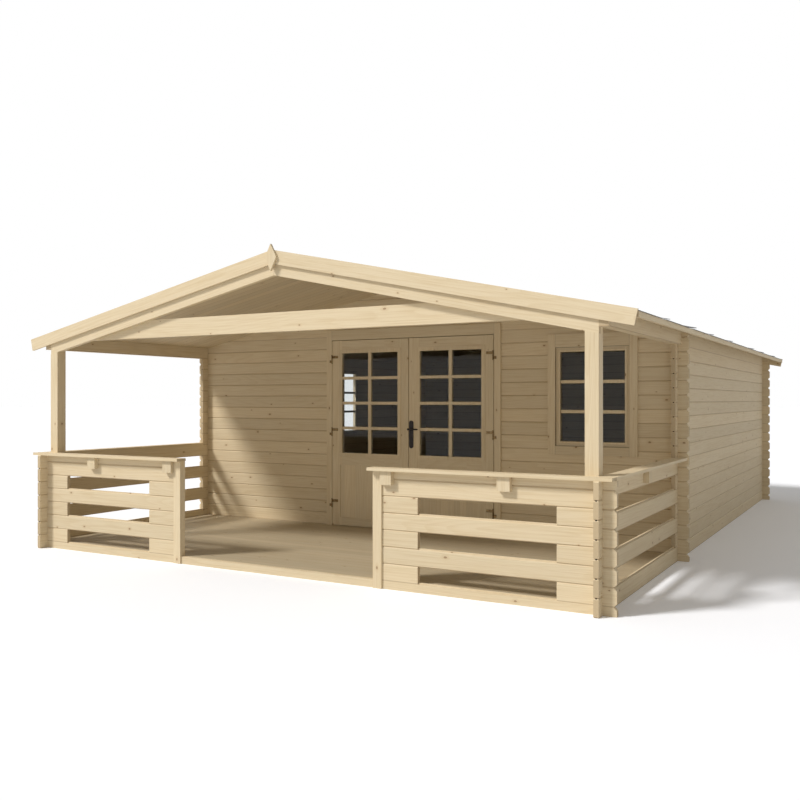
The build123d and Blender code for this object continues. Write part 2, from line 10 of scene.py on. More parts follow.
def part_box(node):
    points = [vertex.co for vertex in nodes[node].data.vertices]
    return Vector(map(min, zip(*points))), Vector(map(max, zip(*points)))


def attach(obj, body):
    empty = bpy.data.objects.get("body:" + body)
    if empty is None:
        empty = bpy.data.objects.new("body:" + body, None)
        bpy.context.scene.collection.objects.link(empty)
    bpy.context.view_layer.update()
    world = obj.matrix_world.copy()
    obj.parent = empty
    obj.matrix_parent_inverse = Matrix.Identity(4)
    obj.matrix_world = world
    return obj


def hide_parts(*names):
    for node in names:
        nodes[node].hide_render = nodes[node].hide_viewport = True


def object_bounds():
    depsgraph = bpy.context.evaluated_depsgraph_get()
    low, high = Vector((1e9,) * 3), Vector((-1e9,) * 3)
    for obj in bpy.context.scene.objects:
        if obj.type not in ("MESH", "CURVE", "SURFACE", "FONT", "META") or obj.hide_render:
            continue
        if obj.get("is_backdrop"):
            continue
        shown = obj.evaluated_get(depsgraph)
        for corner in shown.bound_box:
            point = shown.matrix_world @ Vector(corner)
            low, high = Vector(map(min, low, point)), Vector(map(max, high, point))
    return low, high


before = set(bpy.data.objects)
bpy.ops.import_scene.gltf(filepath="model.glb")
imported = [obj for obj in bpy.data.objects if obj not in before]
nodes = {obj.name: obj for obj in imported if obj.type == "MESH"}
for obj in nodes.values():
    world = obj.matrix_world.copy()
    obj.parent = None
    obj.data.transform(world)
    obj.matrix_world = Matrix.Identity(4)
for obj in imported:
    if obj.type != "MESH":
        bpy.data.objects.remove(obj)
cad_low, cad_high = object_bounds()
SHED = "shed"
LEAVES = {"left": "left_door", "right": "right_door"}

# Sizes of the logs and the roof, in metres, as the frame has them
COURSE = 0.12
HALF_COURSE = COURSE / 2
PITCH = math.radians(12.0)
SLOPE = math.tan(PITCH)
MILLIMETRE = 0.001
LOG_T = 0.034
BOARD_T = 0.018
AXES = "xyz"

# Edges that turn by more than this angle are bevelled, and faces that turn by less are joined
SHARP = 0.5
LEVEL = 0.01
BEVEL_PROFILE = 0.7


def linked(name, data):
    """A new object in the scene."""
    made = bpy.data.objects.new(name, data)
    bpy.context.scene.collection.objects.link(made)
    return made


# Meshes


def bevelled(mesh, edges, offset, segments=2):
    """Bevels those of the edges that are sharp."""
    sharp = [edge for edge in edges if edge.calc_face_angle(0) > SHARP]
    bmesh.ops.bevel(
        mesh,
        geom=sharp,
        offset=offset,
        segments=segments,
        profile=BEVEL_PROFILE,
        affect="EDGES",
        clamp_overlap=True,
    )


class Shape:
    """A mesh in the making: closed solids are added, then it becomes one object."""

    def __init__(self):
        self.mesh = bmesh.new()

    def solid(self, rings, bevel=0.0, segments=2):
        """Joins closed rings of as many points each, from first to last, and caps both ends."""
        loops = [[self.mesh.verts.new(point) for point in ring] for ring in rings]
        count = len(loops[0])
        faces = [self.mesh.faces.new(list(reversed(loops[0]))), self.mesh.faces.new(loops[-1])]
        for near, far in zip(loops, loops[1:]):
            for i in range(count):
                j = (i + 1) % count
                faces.append(self.mesh.faces.new((near[i], near[j], far[j], far[i])))
        if bevel:
            edges = dict.fromkeys(edge for face in faces for edge in face.edges)
            bevelled(self.mesh, edges, bevel, segments)

    def box(self, low, high, bevel=0.0, segments=2):
        """A box between two corners."""
        corners = [(low[0], low[1]), (high[0], low[1]), (high[0], high[1]), (low[0], high[1])]
        self.solid([[(x, y, z) for x, y in corners] for z in (low[2], high[2])], bevel, segments)

    def prism(self, profile, y_low, y_high, bevel=0.0):
        """A profile of (x, z) points, run from y_low to y_high."""
        self.solid([[(x, y, z) for x, z in profile] for y in (y_low, y_high)], bevel)

    def disc(self, centre, axis, radius, height, bevel=0.0, sides=16):
        """A round head on centre that stands out along axis."""
        turn = Vector(axis).to_track_quat("Z", "Y").to_matrix().to_4x4()
        place = Matrix.Translation(centre) @ turn
        rings = []
        for z, r in ((0, radius), (height - bevel, radius), (height, radius - bevel)):
            angles = [2 * math.pi * i / sides for i in range(sides)]
            rings.append([place @ Vector((r * math.cos(a), r * math.sin(a), z)) for a in angles])
        self.solid(rings)

    def lattice(self, across, up, filled, plane):
        """Cells of a grid that filled(i, j) picks, as one solid through plane(u, v, depth)."""
        corner = {}

        def vert(i, j, k):
            if (i, j, k) not in corner:
                corner[i, j, k] = self.mesh.verts.new(plane(across[i], up[j], k))
            return corner[i, j, k]

        def face(*places):
            self.mesh.faces.new([vert(*place) for place in places])

        cells = [(i, j) for i in range(len(across) - 1) for j in range(len(up) - 1) if filled(i, j)]
        for i, j in cells:
            face((i, j, 0), (i + 1, j, 0), (i + 1, j + 1, 0), (i, j + 1, 0))
            face((i, j + 1, 1), (i + 1, j + 1, 1), (i + 1, j, 1), (i, j, 1))
            sides = {
                (i - 1, j): ((i, j + 1), (i, j)),
                (i + 1, j): ((i + 1, j), (i + 1, j + 1)),
                (i, j - 1): ((i, j), (i + 1, j)),
                (i, j + 1): ((i + 1, j + 1), (i, j + 1)),
            }
            for cell, ((a, b), (c, d)) in sides.items():
                if cell not in cells:
                    face((a, b, 1), (c, d, 1), (c, d, 0), (a, b, 0))

    def finish(self, name, material, body, bevel=0.0):
        """The object, riding on its body."""
        if bevel:
            bmesh.ops.dissolve_limit(
                self.mesh, angle_limit=LEVEL, verts=self.mesh.verts[:], edges=self.mesh.edges[:]
            )
            bevelled(self.mesh, self.mesh.edges[:], bevel)
        bmesh.ops.recalc_face_normals(self.mesh, faces=self.mesh.faces[:])
        data = bpy.data.meshes.new(name)
        self.mesh.to_mesh(data)
        self.mesh.free()
        data.materials.append(material)
        made = linked(name, data)
        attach(made, body)
        return made


# Materials


class Graph:
    """The nodes of a material or of the sky, added one short call at a time."""

    def __init__(self, owner):
        self.owner = owner
        owner.use_nodes = True
        self.tree = owner.node_tree
        self.tree.nodes.clear()

    def node(self, kind, inputs, **settings):
        made = self.tree.nodes.new("ShaderNode" + kind)
        for key, value in settings.items():
            setattr(made, key, value)
        for key, value in inputs.items():
            self.feed(made.inputs[key], value)
        return made

    def feed(self, socket, value):
        if isinstance(value, bpy.types.NodeSocket):
            self.tree.links.new(value, socket)
        else:
            socket.default_value = value

    def math(self, operation, *values):
        return self.node("Math", dict(enumerate(values)), operation=operation).outputs[0]

    def add(self, a, b):
        return self.math("ADD", a, b)

    def times(self, a, b):
        return self.math("MULTIPLY", a, b)

    def rest(self, value):
        """What value lacks of 1."""
        return self.math("SUBTRACT", 1.0, value)

    def mix(self, factor, a, b, blend="MIX"):
        made = self.node("Mix", {0: factor, 6: a, 7: b}, data_type="RGBA", blend_type=blend)
        return made.outputs[2]

    def mix_vector(self, factor, a, b):
        return self.node("Mix", {0: factor, 4: a, 5: b}, data_type="VECTOR").outputs[1]

    def split(self, vector):
        return self.node("SeparateXYZ", {0: vector}).outputs[:]

    def join(self, x, y, z):
        return self.node("CombineXYZ", {0: x, 1: y, 2: z}).outputs[0]

    def vector(self, operation, a, b):
        return self.node("VectorMath", {0: a, 1: b}, operation=operation).outputs[0]

    def noise(self, vector, scale, detail=2.0, roughness=0.5):
        """Noise stretched by scale along each axis."""
        stretched = self.vector("MULTIPLY", vector, scale)
        inputs = {"Vector": stretched, "Scale": 1.0, "Detail": detail, "Roughness": roughness}
        return self.node("TexNoise", inputs).outputs["Fac"]

    def step(self, value, low, high):
        """0 below low, 1 above high, and smooth between them."""
        inputs = {"Value": value, "From Min": low, "From Max": high}
        return self.node("MapRange", inputs, interpolation_type="SMOOTHSTEP").outputs[0]

    def place(self):
        """Texture coordinates, by name."""
        return self.node("TexCoord", {}).outputs

    def surface(self, **inputs):
        """The material with a principled shader of these inputs."""
        named = {key.replace("_", " "): value for key, value in inputs.items()}
        shader = self.node("BsdfPrincipled", named)
        self.node("OutputMaterial", {0: shader.outputs[0]})
        return self.owner

    def bump(self, height, distance, strength=1.0):
        inputs = {"Height": height, "Distance": distance, "Strength": strength}
        return self.node("Bump", inputs).outputs[0]


SAPWOOD = (0.785, 0.684, 0.504, 1)
EARLYWOOD = (0.740, 0.630, 0.444, 1)
LATEWOOD = (0.610, 0.472, 0.272, 1)
KNOT = (0.270, 0.160, 0.085, 1)
KNOT_HALO = (0.560, 0.400, 0.220, 1)
END_PALE = (0.56, 0.450, 0.295, 1)
END_DARK = (0.44, 0.335, 0.200, 1)
JOINT_SHADE = (0.33, 0.215, 0.110, 1)
GAP_SHADE = (0.16, 0.115, 0.070, 1)
TIMBERS = {}

# Shares of those colours in the wood
LATE_SHARE = (0.08, 0.27)
STREAK_SHARE = 0.44
FIBRE_SHARE = 0.16
HALO_SHARE = 0.32
CORE_SHARE = 0.72
END_SHARE = 0.85
SEAM_SHARE = 0.52
GAP_SHARE = 0.6
WARM_SHARE = 0.07
WARM_TINT = (0.84, 0.66, 0.46, 1)

# Tone of a board: the darkest, and how far others reach above it
BOARD_TONE = (0.93, 0.12)

# How far the pattern moves from board to board, in cross zones and from left half to right
BOARD_SHIFT = 3.37
CROSS_SHIFT = 5.9
FOLD_SHIFT = 31.7
PATTERN_SHIFT = (23.0, 11.0, 7.0)

# Waves a metre along the grain, across it and through the piece
FIBRES = (9.0, 620.0, 620.0)
STREAKS = (2.6, 105.0, 105.0)
PATCHES = (0.9, 6.0, 6.0)
DRIFT = (0.42, 5.0, 5.0)
KNOT_EDGE = (40.0, 90.0, 90.0)
END_WANDER = (30.0, 30.0, 30.0)

# Growth rings on the faces: how many come from the drift, a metre of width and a knot
DRIFT_RINGS = 21.0
WIDTH_RINGS = 34.0
KNOT_RINGS = 1.6

# Growth rings on sawn ends: how many a metre, how far they waver and how flat they are
END_RINGS = 260.0
END_WAVER = 1.5
END_FLATNESS = 0.35

# Knots: cells a metre along and across, share of cells without one, size and roundness in cells
KNOT_CELLS = (3.6, 6.2)
KNOT_DEPTH = 0.63
KNOT_RARITY = 0.66
KNOT_SIZE = (0.018, 0.032)
KNOT_ROUND = (0.82, 0.35)

# Shade between logs is painted on the upper one's underside, over the dark joint, and the bevel
# below stays clean
SEAM_LIFT = 2.6 * MILLIMETRE

# Surface of the wood
WOOD_RELIEF = 0.45 * MILLIMETRE
WOOD_BUMP = 0.55
WOOD_ROUGH = 0.70
WOOD_SHINE = 0.3


def turned(graph, sockets, angle):
    """X and Z turned about Y, so that X runs down a roof slope of that angle."""
    x, y, z = sockets
    c, s = math.cos(angle), math.sin(angle)
    along = graph.math("SUBTRACT", graph.times(x, c), graph.times(z, s))
    normal = graph.add(graph.times(x, s), graph.times(z, c))
    return [along, y, normal]


def ordered(graph, sockets, along, across):
    """The coordinates as (along the grain, across the width, through the thickness)."""
    rest = next(letter for letter in AXES if letter not in (along, across))
    return [sockets[AXES.index(letter)] for letter in (along, across, rest)]


def within(graph, sockets, zones):
    """1 inside any of the zones, each a list of (axis, low, high) that all have to hold."""
    mask = 0.0
    for zone in zones:
        inside = 1.0
        for axis, low, high in zone:
            value = sockets[AXES.index(axis)]
            inside = graph.times(inside, graph.math("GREATER_THAN", value, low))
            inside = graph.times(inside, graph.math("LESS_THAN", value, high))
        mask = graph.math("MAXIMUM", mask, inside)
    return mask


def seams(graph, scaled, square, joint, lift):
    """1 in joints of that width, at the whole numbers of scaled, moved up by lift, where a dark
    joint and its painted shade go.
    A face that lies in the joint, such as a log's open top, is left clean."""
    near = graph.math("PINGPONG", graph.math("SUBTRACT", scaled, lift), 0.5)
    line = graph.rest(graph.step(near, 0.25 * joint, 0.75 * joint))
    clean = graph.step(graph.math("ABSOLUTE", square), 0.75, 0.95)
    return graph.times(line, graph.rest(clean))


def knots(graph, vector):
    """Cores and halos of knots, which lie in cells of a board's face. Only some cells have one."""
    length, width, depth = graph.split(vector)
    across = graph.add(width, graph.times(depth, KNOT_DEPTH))
    flat = graph.join(graph.times(length, KNOT_CELLS[0]), graph.times(across, KNOT_CELLS[1]), 0.0)
    inputs = {"Vector": flat, "Scale": 1.0, "Randomness": 1.0}
    cell = graph.node("TexVoronoi", inputs, voronoi_dimensions="2D")
    luck = graph.split(cell.outputs["Color"])
    kept = graph.math("GREATER_THAN", luck[0], KNOT_RARITY)
    size = graph.add(KNOT_SIZE[0], graph.times(luck[1], KNOT_SIZE[1]))
    wobble = graph.times(graph.noise(vector, KNOT_EDGE, 1.0), KNOT_ROUND[1])
    reach = graph.times(cell.outputs["Distance"], graph.add(KNOT_ROUND[0], wobble))
    spread = graph.math("DIVIDE", reach, size)
    core = graph.times(graph.rest(graph.step(spread, 0.75, 1.1)), kept)
    halo = graph.times(graph.rest(graph.step(spread, 0.9, 3.4)), kept)
    return core, halo


def sawn_end(graph, vector):
    """End grain: rings about a pith."""
    width, depth = graph.split(vector)[1:]
    place = graph.join(0.0, graph.times(width, END_FLATNESS), depth)
    radius = graph.node("VectorMath", {0: place}, operation="LENGTH").outputs["Value"]
    wander = graph.times(graph.noise(vector, END_WANDER, 2.0), END_WAVER)
    arcs = graph.math("FRACT", graph.add(graph.times(radius, END_RINGS), wander))
    return graph.mix(graph.step(arcs, 0.5, 0.95), END_PALE, END_DARK)


def timber(
    name,
    along,
    across,
    boards=(),
    angle=0.0,
    folded=False,
    cross_zones=(),
    cross=None,
    gaps=(),
    joint=0.0,
    shade=1.0,
):
    """Untreated spruce. along and across name the axes of the grain and of the width.
    boards are (axis, pitch, start) where pieces meet, and a joint of that width is dark.
    In cross_zones, each a list of (axis, low, high), the grain and width follow cross instead.
    gaps are such zones too, the dark lines where two pieces meet; round a sash they also hold
    painted shade."""
    if name in TIMBERS:
        return TIMBERS[name]
    graph = Graph(bpy.data.materials.new(name))
    place = graph.place()
    here = graph.split(place["Object"])
    facing = graph.split(place["Normal"])
    side = graph.math("SIGN", here[0])
    if folded:
        here = [graph.math("ABSOLUTE", here[0]), here[1], here[2]]
        facing = [graph.times(facing[0], side), facing[1], facing[2]]
    plain = here
    if angle:
        here = turned(graph, here, angle)
        facing = turned(graph, facing, angle)

    # Each board or log has its own number, which shifts the pattern and the tone
    number = graph.times(side, FOLD_SHIFT) if folded else 0.0
    seam = None
    for axis, pitch, start in boards:
        index = AXES.index(axis)
        scaled = graph.math("DIVIDE", graph.math("SUBTRACT", here[index], start), pitch)
        number = graph.add(number, graph.times(graph.math("FLOOR", scaled), BOARD_SHIFT))
        if joint:
            lift = SEAM_LIFT / pitch if axis == "z" else 0.0
            seam = seams(graph, scaled, facing[index], joint / pitch, lift)

    vector = graph.join(*ordered(graph, here, along, across))
    end = graph.math("ABSOLUTE", ordered(graph, facing, along, across)[0])
    if cross:
        mask = within(graph, plain, cross_zones)
        vector = graph.mix_vector(mask, vector, graph.join(*ordered(graph, here, *cross)))
        cross_end = graph.math("ABSOLUTE", ordered(graph, facing, *cross)[0])
        end = graph.add(graph.times(cross_end, mask), graph.times(end, graph.rest(mask)))
        number = graph.add(number, graph.times(mask, CROSS_SHIFT))

    chance = graph.node("TexWhiteNoise", {"W": number}, noise_dimensions="1D")
    shift = graph.vector("MULTIPLY", chance.outputs["Color"], PATTERN_SHIFT)
    vector = graph.vector("ADD", vector, shift)
    core, halo = knots(graph, vector)

    # Growth rings cut lengthwise, drawn round the knots
    phase = graph.times(graph.noise(vector, DRIFT, 1.0, 0.4), DRIFT_RINGS)
    phase = graph.add(phase, graph.times(graph.split(vector)[1], WIDTH_RINGS))
    ring = graph.math("FRACT", graph.add(phase, graph.times(halo, KNOT_RINGS)))
    late = graph.times(graph.step(ring, 0.35, 0.92), graph.rest(graph.step(ring, 0.93, 1.0)))
    patch = graph.noise(vector, PATCHES, 2.0)
    fibre = graph.noise(vector, FIBRES, 2.0, 0.6)
    streak = graph.step(graph.noise(vector, STREAKS, 3.0, 0.65), 0.42, 0.72)

    colour = graph.mix(patch, SAPWOOD, EARLYWOOD)
    late_share = graph.add(LATE_SHARE[0], graph.times(patch, LATE_SHARE[1]))
    colour = graph.mix(graph.times(late, late_share), colour, LATEWOOD)
    colour = graph.mix(graph.times(streak, STREAK_SHARE), colour, LATEWOOD)
    colour = graph.mix(graph.times(fibre, FIBRE_SHARE), colour, EARLYWOOD, "MULTIPLY")
    colour = graph.mix(graph.times(halo, HALO_SHARE), colour, KNOT_HALO)
    colour = graph.mix(graph.times(core, CORE_SHARE), colour, KNOT)
    cut = graph.times(graph.step(end, 0.72, 0.92), END_SHARE)
    colour = graph.mix(cut, colour, sawn_end(graph, vector))

    tone = graph.add(BOARD_TONE[0], graph.times(chance.outputs["Value"], BOARD_TONE[1]))
    inputs = {0: colour, "Scale": graph.times(tone, shade)}
    toned = graph.node("VectorMath", inputs, operation="SCALE").outputs[0]
    warm = graph.times(graph.split(chance.outputs["Color"])[2], WARM_SHARE)
    colour = graph.mix(warm, toned, WARM_TINT, "MULTIPLY")
    # Dark joints: the gap with painted shade, between logs on the upper one's underside
    if seam is not None:
        colour = graph.mix(graph.times(seam, SEAM_SHARE), colour, JOINT_SHADE)
    if gaps:
        gap = graph.times(within(graph, plain, gaps), GAP_SHARE)
        colour = graph.mix(gap, colour, GAP_SHADE)

    height = graph.add(graph.times(fibre, 0.5), graph.times(late, 0.35))
    height = graph.add(height, graph.times(core, 0.7))
    TIMBERS[name] = graph.surface(
        Base_Color=colour,
        Roughness=graph.math("SUBTRACT", WOOD_ROUGH, graph.times(late, 0.12)),
        Normal=graph.bump(height, WOOD_RELIEF, WOOD_BUMP),
        Specular_IOR_Level=WOOD_SHINE,
    )
    return TIMBERS[name]


GLASS_TINT = (0.86, 0.88, 0.88, 1)
GLASS_IOR = 1.24
BRASS_BRIGHT = (0.30, 0.205, 0.095, 1)
BRASS_BROWN = (0.15, 0.095, 0.045, 1)
IRON_BLACK = (0.020, 0.013, 0.010, 1)
IRON_WORN = (0.05, 0.036, 0.026, 1)
FELT_DARK = (0.055, 0.057, 0.06, 1)
FELT_PALE = (0.26, 0.265, 0.27, 1)
FELT_DULL = (0.10, 0.10, 0.105, 1)
LAP_BITUMEN_AND_SHADOW = (0.030, 0.030, 0.032, 1)
HOLE_SHADE_COLOUR = (0.035, 0.025, 0.018, 1)


def pane():
    """Clear window glass, a little wavy, with a few smears."""
    graph = Graph(bpy.data.materials.new("pane"))
    place = graph.place()["Object"]
    waver = graph.noise(place, (3.0, 3.0, 3.0), 1.0)
    smear = graph.step(graph.noise(place, (14.0, 14.0, 9.0), 3.0), 0.5, 0.8)
    return graph.surface(
        Base_Color=GLASS_TINT,
        Roughness=graph.times(smear, 0.03),
        Transmission_Weight=1.0,
        IOR=GLASS_IOR,
        Normal=graph.bump(waver, 0.2 * MILLIMETRE),
    )


def metal(name, colours, stain, worn, grain, roughness, relief, **inputs):
    """Metal mottled between two colours. Waves a metre are stain for that and grain for the
    finish. worn is the step from one colour to the other, roughness its least and its spread."""
    graph = Graph(bpy.data.materials.new(name))
    place = graph.place()["Object"]
    patch = graph.step(graph.noise(place, (stain, stain, stain), 4.0), *worn)
    fine = graph.noise(place, grain, 2.0)
    return graph.surface(
        Base_Color=graph.mix(patch, *colours),
        Roughness=graph.add(roughness[0], graph.times(fine, roughness[1])),
        Normal=graph.bump(fine, relief),
        **inputs,
    )


# Rear edges of the felt sheets, half the width of the dark band there, bare bitumen with painted
# shadow under the lifted edge, and stone chips a metre
LAPS = (-2.935, -2.015, -1.275, -0.285, 1.145, 1.935, 3.025)
LAP_EDGE = 7 * MILLIMETRE
CHIPS = 420.0


def felt():
    """Mineral roofing felt: grey stone chips on black bitumen, which shows along the laps, where
    the shadow under the lifted edges is painted too.
    """
    graph = Graph(bpy.data.materials.new("felt"))
    place = graph.place()["Object"]
    inputs = {"Vector": place, "Scale": CHIPS, "Randomness": 1.0}
    chips = graph.node("TexVoronoi", inputs).outputs
    patch = graph.step(graph.noise(place, (1.3, 1.3, 1.3), 4.0), 0.3, 0.7)
    # Dark band along each lap: bare bitumen and painted shadow under the lifted edge
    edges = [[("y", y - LAP_EDGE, y + LAP_EDGE)] for y in LAPS]
    bitumen_and_shadow = within(graph, graph.split(place), edges)
    colour = graph.mix(graph.split(chips["Color"])[0], FELT_DARK, FELT_PALE)
    colour = graph.mix(graph.times(patch, 0.35), colour, FELT_DULL)
    colour = graph.mix(graph.times(bitumen_and_shadow, 0.75), colour, LAP_BITUMEN_AND_SHADOW)
    return graph.surface(
        Base_Color=colour,
        Roughness=0.88,
        Specular_IOR_Level=0.35,
        Normal=graph.bump(chips["Distance"], 0.8 * MILLIMETRE),
    )


# Where things are, read from the frame
PANE_LAP = 6 * MILLIMETRE
leaf_low, leaf_high = {}, {}
glass_low, glass_high = {}, {}
light_x, light_z = {}, {}
for hand in LEAVES:
    leaf_low[hand], leaf_high[hand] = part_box("door_leaf_" + hand)
    glass_low[hand], glass_high[hand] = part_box("door_glass_" + hand)
    light_x[hand] = (glass_low[hand].x + PANE_LAP, glass_high[hand].x - PANE_LAP)
    light_z[hand] = (glass_low[hand].z + PANE_LAP, glass_high[hand].z - PANE_LAP)
frame_low, frame_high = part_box("door_frame")

GLASS = pane()
FELT = felt()
BRASS = metal(
    "brass",
    (BRASS_BRIGHT, BRASS_BROWN),
    stain=60.0,
    worn=(0.35, 0.7),
    grain=(400.0, 400.0, 900.0),
    roughness=(0.34, 0.2),
    relief=0.05 * MILLIMETRE,
    Metallic=0.75,
)
IRON = metal(
    "black_iron",
    (IRON_BLACK, IRON_WORN),
    stain=45.0,
    worn=(0.55, 0.8),
    grain=(700.0, 700.0, 700.0),
    roughness=(0.30, 0.25),
    relief=0.08 * MILLIMETRE,
    Specular_IOR_Level=0.3,
)
# A dark material that paints the shade inside holes and gaps
dark = Graph(bpy.data.materials.new("hole_shade_paint"))
HOLE_SHADE = dark.surface(Base_Color=HOLE_SHADE_COLOUR, Roughness=0.9, Specular_IOR_Level=0.1)

# Steps at which the wood of one node changes its pattern without a joint
APART = 0.5
JOINERY_STEP = 0.31
PANEL_STEP = 0.065
LOG_JOINT = 6 * MILLIMETRE
front_logs = timber("front_logs", "x", "z", [("z", COURSE, HALF_COURSE)], joint=LOG_JOINT)
side_logs = timber("side_logs", "y", "z", [("z", COURSE, 0.0)], joint=LOG_JOINT)
posts = timber("posts", "z", "x", folded=True)
caps_across = timber("caps_across", "x", "y", folded=True)
caps_along = timber("caps_along", "y", "x", folded=True)
beams = timber("beams", "x", "z", shade=1.04)
slope_pair = timber("slope_pair", "x", "z", angle=PITCH, folded=True, shade=1.02)
eave_run = timber("eave_run", "y", "z", folded=True)
blocks = timber("blocks", "z", "x", [("x", APART, 0.2)])

finishes = {
    "sill_logs": front_logs,
    "front_railing_left": front_logs,
    "front_railing_right": front_logs,
    "front_wall_left": front_logs,
    "front_wall_right": front_logs,
    "front_gable": front_logs,
    "rear_wall": front_logs,
    "side_railing_left": side_logs,
    "side_railing_right": side_logs,
    "left_wall": side_logs,
    "right_wall": side_logs,
    "top_log_left": side_logs,
    "top_log_right": side_logs,
    "entrance_posts": posts,
    "corner_posts": posts,
    "front_railing_caps": caps_across,
    "side_railing_caps": caps_along,
    "cap_brackets": blocks,
    "front_rafters": slope_pair,
    "tie_beam": beams,
    "front_fascia_left": slope_pair,
    "front_fascia_right": slope_pair,
    "rear_fascia": slope_pair,
    "eave_boards": eave_run,
    "finial": posts,
    "roof_purlins": caps_along,
    "floor_joists": caps_along,
    "door_glass_left": GLASS,
    "door_glass_right": GLASS,
    "window_glass": GLASS,
    "door_hinges_left": BRASS,
    "door_hinges_right": BRASS,
    "hinge_pins": BRASS,
    "door_handle": IRON,
}

# Joinery: upright stiles and jambs, level rails, heads and sills
CASING_W = 0.064
CASING_T = 0.018
HEAD_GAP = 6 * MILLIMETRE
HAIR_GAP = 1.2 * MILLIMETRE
SASH_GAP = 3.5 * MILLIMETRE
ANY_HEIGHT = 9.0
head = ("z", leaf_high["left"].z + HEAD_GAP, ANY_HEIGHT)
head_ends = (frame_low.x + CASING_W, frame_high.x - CASING_W)
finishes["door_frame"] = timber(
    "door_frame_wood",
    "z",
    "x",
    cross_zones=[[head, ("x", *head_ends)]],
    cross="xz",
    gaps=[[head, ("x", x - HAIR_GAP, x + HAIR_GAP)] for x in head_ends],
)
for hand, light in light_x.items():
    finishes["door_leaf_" + hand] = timber(
        "leaf_wood_" + hand,
        "z",
        "x",
        [("x", APART, light[0])],
        cross_zones=[[("x", *light)]],
        cross="xz",
    )


WINDOW_CASING = 0.070
WINDOW_HEAD = 0.118
WINDOW_SILL = 0.077
SASH_EDGE = 0.041


def window_wood(node, axis, name):
    """A window frame's timber: level in its head, sill and sash rails, and a dark line round the
    sash, its gap with painted shade from the casing.
    """
    low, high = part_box(node)
    index = AXES.index(axis)
    between = (axis, low[index] + WINDOW_CASING, high[index] - WINDOW_CASING)
    light = (axis, between[1] + SASH_EDGE, between[2] - SASH_EDGE)
    sill, head = low.z + WINDOW_SILL, high.z - WINDOW_HEAD
    zones = [[("z", low.z, sill), between], [("z", head, high.z), between], [light]]
    upright = ("z", sill, head)
    # The lines round the sash are painted shade from the proud casing as well as the gap
    gaps = [
        [(axis, between[1] - HAIR_GAP, between[1] + SASH_GAP), upright],
        [(axis, between[2] - SASH_GAP, between[2] + HAIR_GAP), upright],
        [("z", sill - HAIR_GAP, sill + SASH_GAP), between],
        [("z", head - SASH_GAP, head + HAIR_GAP), between],
        [(axis, between[1] - HAIR_GAP, between[1] + HAIR_GAP)],
        [(axis, between[2] - HAIR_GAP, between[2] + HAIR_GAP)],
    ]
    return timber(name, "z", axis, cross_zones=zones, cross=axis + "z", gaps=gaps)


finishes["window_frame_front"] = window_wood("window_frame_front", "x", "window_wood_front")
finishes["window_frame_side"] = window_wood("window_frame_side", "y", "window_wood_side")

for label, material in finishes.items():
    for slot in nodes[label].material_slots:
        slot.material = material


# Glazing bars and beads
DOOR_PANES = (2, 4)
WINDOW_PANES = (2, 3)
BAR_W = 0.034
CROSS_BAR_W = 0.029
BAR_BEVEL = 2.5 * MILLIMETRE
BAR_SINK = 2 * MILLIMETRE
WINDOW_BAR_DEPTHS = (10 * MILLIMETRE, 28 * MILLIMETRE)
BEAD_W = 0.037
BEAD_OUT = 5 * MILLIMETRE
BEAD_BEVEL = 1.5 * MILLIMETRE
SASH_BEAD_W = 0.016
SASH_BEAD_OUT = 4 * MILLIMETRE


def grid_lines(low, high, count, bar):
    """Edges of count panes with bars between them, from low to high."""
    pitch = (high - low) / count
    lines = [low]
    for i in range(1, count):
        lines += [low + pitch * i - bar / 2, low + pitch * i + bar / 2]
    return lines + [high]


def bars(name, plane, across, up, panes, body):
    """A lattice of glazing bars that fills a light."""
    shape = Shape()
    xs = grid_lines(*across, panes[0], BAR_W)
    zs = grid_lines(*up, panes[1], CROSS_BAR_W)
    shape.lattice(xs, zs, lambda i, j: i % 2 == 1 or j % 2 == 1, plane)
    return shape.finish(name, joinery, body, BAR_BEVEL)


def bead(name, plane, across, up, body, width=BEAD_W):
    """A moulding round a light, on the face of its leaf or sash."""
    shape = Shape()
    xs = [across[0] - width, across[0], across[1], across[1] + width]
    zs = [up[0] - width, up[0], up[1], up[1] + width]
    shape.lattice(xs, zs, lambda i, j: (i, j) != (1, 1), plane)
    return shape.finish(name, joinery, body, BEAD_BEVEL)


def sheet_plane(axis, outer, inner):
    """A plane for a lattice, square to axis: depth 0 is its outer face and 1 its inner one."""
    if axis == "y":
        return lambda u, v, k: (u, inner if k else outer, v)
    return lambda u, v, k: (inner if k else outer, u, v)


joinery = timber("joinery", "z", "x", [("x", JOINERY_STEP, 0.0)])
for hand, body in LEAVES.items():
    face, back = leaf_low[hand].y, leaf_high[hand].y
    depths = {
        "outer": (face + BAR_SINK, glass_low[hand].y),
        "inner": (glass_high[hand].y, back - BAR_SINK),
    }
    for where, depth in depths.items():
        name = f"glazing_bars_{hand}_{where}"
        plane = sheet_plane("y", *depth)
        bars(name, plane, light_x[hand], light_z[hand], DOOR_PANES, body)
    plane = sheet_plane("y", face - BEAD_OUT, face)
    bead(f"glass_bead_{hand}", plane, light_x[hand], light_z[hand], body)

# Upright boards of the doors' lower panels, on both faces
PANEL_EDGE = 0.095
PANEL_LOW = 0.150
PANEL_HIGH = 0.680
PANEL_FACE = 11 * MILLIMETRE
PANEL_BOARDS = 10
BOARD_FACE = 4 * MILLIMETRE
BOARD_BEVEL = 1.8 * MILLIMETRE
panel_wood = timber("panel_wood", "z", "x", [("x", PANEL_STEP, 0.0)])
for hand, body in LEAVES.items():
    low, high = leaf_low[hand].x + PANEL_EDGE, leaf_high[hand].x - PANEL_EDGE
    fronts = (leaf_low[hand].y + PANEL_FACE - BOARD_FACE, leaf_high[hand].y - PANEL_FACE)
    width = (high - low) / PANEL_BOARDS
    shape = Shape()
    for i in range(PANEL_BOARDS):
        x = low + width * i
        for y in fronts:
            far = (x + width, y + BOARD_FACE, PANEL_HIGH)
            shape.box((x, y, PANEL_LOW), far, BOARD_BEVEL, segments=1)
    shape.finish("panel_boards_" + hand, panel_wood, body)

